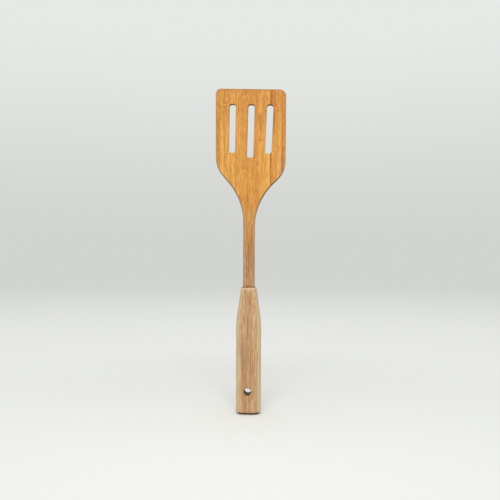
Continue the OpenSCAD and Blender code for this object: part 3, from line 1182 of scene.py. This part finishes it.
SANDED = {
    "fresh": ((162, 116, 75), (198, 156, 111), (221, 192, 151)),
    "dulled": (),
    "turn": HANDLE_TURN,
    "end_share": 0.6,
    "layers": {
        "cloud": (9.0, 60.0, 1.0, 0.12),
        "broad": (1.3, 45.0, 1.0, 0.34),
        "fibre": (0.6, 24.0, 1.0, 0.35),
        "fleck": (0.6, 8.0, 1.0, 0.35),
        "ripple": (3.0, 1.4, 1.0, 0.1),
        "fine": (0.2, 8.0, 1.0, 0.1),
    },
    "blush": (180, 134, 100),
    "blush_grain": (1.5, 26.0, 1.0),
    "bundle": (152, 104, 66),
    "bundles": 0.4,
    "stain": (118, 80, 54),
    "streaks": HANDLE_STREAKS,
    "line": (132, 92, 62),
    "line_inset": 0.4,
    "line_half_w": 0.7,
    "end_grain_and_painted_light": {
        # Side: painted sheen, paler where the handle's rounded sides turn away.
        "Side": (0.2, 0.75, 0.5, (202, 184, 150)),
        # Down: painted shade under the butt's rounded edge and on other faces turned down, partly darker
        # end grain.
        "Down": (0.32, 0.52, 0.9, (58, 40, 26)),
    },
    # Painted shade on the walls of the hanging hole.
    "walls": (HANG_Z - 4.2 * MM, HANG_Z + 6.8 * MM, HANG_SHIFT, HANG_D / 2 + 0.8 * MM, 0.6, (92, 62, 40)),
    "fades": (
        (0.06 * MM, 0.02 * MM, 0.7, (122, 90, 62)),
        # Painted highlight on the handle's rounded top edge.
        (HANDLE_L - 2.8 * MM, HANDLE_L - 1.9 * MM, 0.5, (232, 200, 160)),
        # Painted shade at the handle's top end, under the neck.
        (HANDLE_L - 0.8 * MM, HANDLE_L - 0.3 * MM, 0.55, (112, 78, 52)),
    ),
    "rough": 0.62,
    "gloss": 0.25,
    "relief": 0.06 * MM,
}

effects = effect_groups()
oiled_bamboo = bamboo("oiled_bamboo", effects, OILED)
sanded_bamboo = bamboo("sanded_bamboo", effects, SANDED)
build_strips(head_blank(), head_node, HEAD_LOOKS, oiled_bamboo)
build_strips(handle_blank(), handle_node, HANDLE_LOOKS, sanded_bamboo)


# Floor, light and camera

FLOOR_R = 6
# The floor lies this much below the butt, so that the two faces don't coincide
FLOOR_DROP = 0.05 * MM
FLOOR_ROUGH = 0.9
# Distances from the tool in which the floor goes over to the backdrop, and the backdrop to the horizon
FLOOR_FADE = (0.1, 0.5)
BACKDROP_FADE = (-0.4, 2.6)
FLOOR = linear(250, 250, 246)
FAR_FLOOR = linear(238, 239, 235)
HORIZON = linear(210, 212, 209)
SKY = linear(231, 233, 230)
# Sine of the height above the horizon at which the backdrop is fully the sky's colour
SKY_SIN = 0.34

KEY_PLACE = (0.03, -1.1, 0.95)
KEY_AIM = (0, 0, 0.2)
KEY_SIZE = 0.9
KEY_POWER = 9
FILL = linear(236, 238, 238)
FILL_STRENGTH = 0.75

CAMERA_D = 683 * MM
CAMERA_Z = 166.2 * MM
CAMERA_SIDE = math.radians(3)
CAMERA_AIM_X = 1.07 * MM
CAMERA_LENS = 48.24
CAMERA_ROLL = math.radians(0.2)


def seen_by_rays(tree):
    """1 for rays that should meet the plain backdrop: from the camera, in gloss and through glass."""
    path = tree.nodes.new("ShaderNodeLightPath").outputs
    seen = calc(tree, "MAXIMUM", path["Is Camera Ray"], path["Is Glossy Ray"])
    return calc(tree, "MAXIMUM", seen, path["Is Transmission Ray"])


def floor():
    """A pale floor that keeps the shadow near the tool and fades into the backdrop further off."""
    bm = bmesh.new()
    bmesh.ops.create_circle(bm, cap_ends=True, radius=FLOOR_R, segments=HOLE_STEPS)
    made = as_object(bm, "floor")
    made.location.z = -FLOOR_DROP
    material = bpy.data.materials.new("pale_floor")
    material.use_nodes = True
    tree = material.node_tree
    shader = tree.nodes["Principled BSDF"]
    shader.inputs["Base Color"].default_value = FLOOR
    shader.inputs["Roughness"].default_value = FLOOR_ROUGH
    far = vector_calc(tree, "LENGTH", object_place(tree))
    backdrop = tree.nodes.new("ShaderNodeEmission")
    # Painted light falloff: the backdrop glows lighter near the tool and darker towards the horizon.
    away = between(tree, far, *BACKDROP_FADE)
    feed(tree, backdrop.inputs["Color"], blend(tree, away, FAR_FLOOR, HORIZON))
    mix = tree.nodes.new("ShaderNodeMixShader")
    share = calc(tree, "MULTIPLY", between(tree, far, *FLOOR_FADE), seen_by_rays(tree))
    for socket, value in zip(mix.inputs, (share, shader.outputs[0], backdrop.outputs[0])):
        feed(tree, socket, value)
    feed(tree, tree.nodes["Material Output"].inputs["Surface"], mix.outputs[0])
    made.data.materials.append(material)


def key_light():
    """One large soft lamp in front of the tool and above it."""
    data = bpy.data.lights.new("key", "AREA")
    data.shape = "DISK"
    data.size = KEY_SIZE
    data.energy = KEY_POWER
    lamp = bpy.data.objects.new("key", data)
    lamp.location = KEY_PLACE
    lamp.rotation_euler = (Vector(KEY_AIM) - Vector(KEY_PLACE)).to_track_quat("-Z", "Y").to_euler()
    bpy.context.scene.collection.objects.link(lamp)


def world():
    """Soft light from all round, and a plain pale backdrop that grows lighter upwards."""
    sky = bpy.data.worlds.new("soft_room")
    sky.use_nodes = True
    tree = sky.node_tree
    fill = tree.nodes["Background"]
    fill.inputs["Color"].default_value = FILL
    fill.inputs["Strength"].default_value = FILL_STRENGTH
    up = parts_of(tree, tree.nodes.new("ShaderNodeTexCoord").outputs["Generated"])[2]
    backdrop = tree.nodes.new("ShaderNodeBackground")
    feed(tree, backdrop.inputs["Color"], blend(tree, between(tree, up, 0, SKY_SIN), HORIZON, SKY))
    mix = tree.nodes.new("ShaderNodeMixShader")
    for socket, value in zip(mix.inputs, (seen_by_rays(tree), fill.outputs[0], backdrop.outputs[0])):
        feed(tree, socket, value)
    feed(tree, tree.nodes["World Output"].inputs["Surface"], mix.outputs[0])
    bpy.context.scene.world = sky


def camera():
    data = bpy.data.cameras.new("camera")
    data.lens = CAMERA_LENS
    made = bpy.data.objects.new("camera", data)
    round_side = Matrix.Rotation(CAMERA_SIDE, 4, "Z")
    aim = Matrix.Rotation(math.pi / 2, 4, "X") @ Matrix.Rotation(CAMERA_ROLL, 4, "Z")
    made.matrix_world = round_side @ Matrix.Translation((CAMERA_AIM_X, -CAMERA_D, CAMERA_Z)) @ aim
    bpy.context.scene.collection.objects.link(made)
    bpy.context.scene.camera = made


floor()
key_light()
world()
camera()
bpy.context.scene.view_settings.view_transform = "Standard"
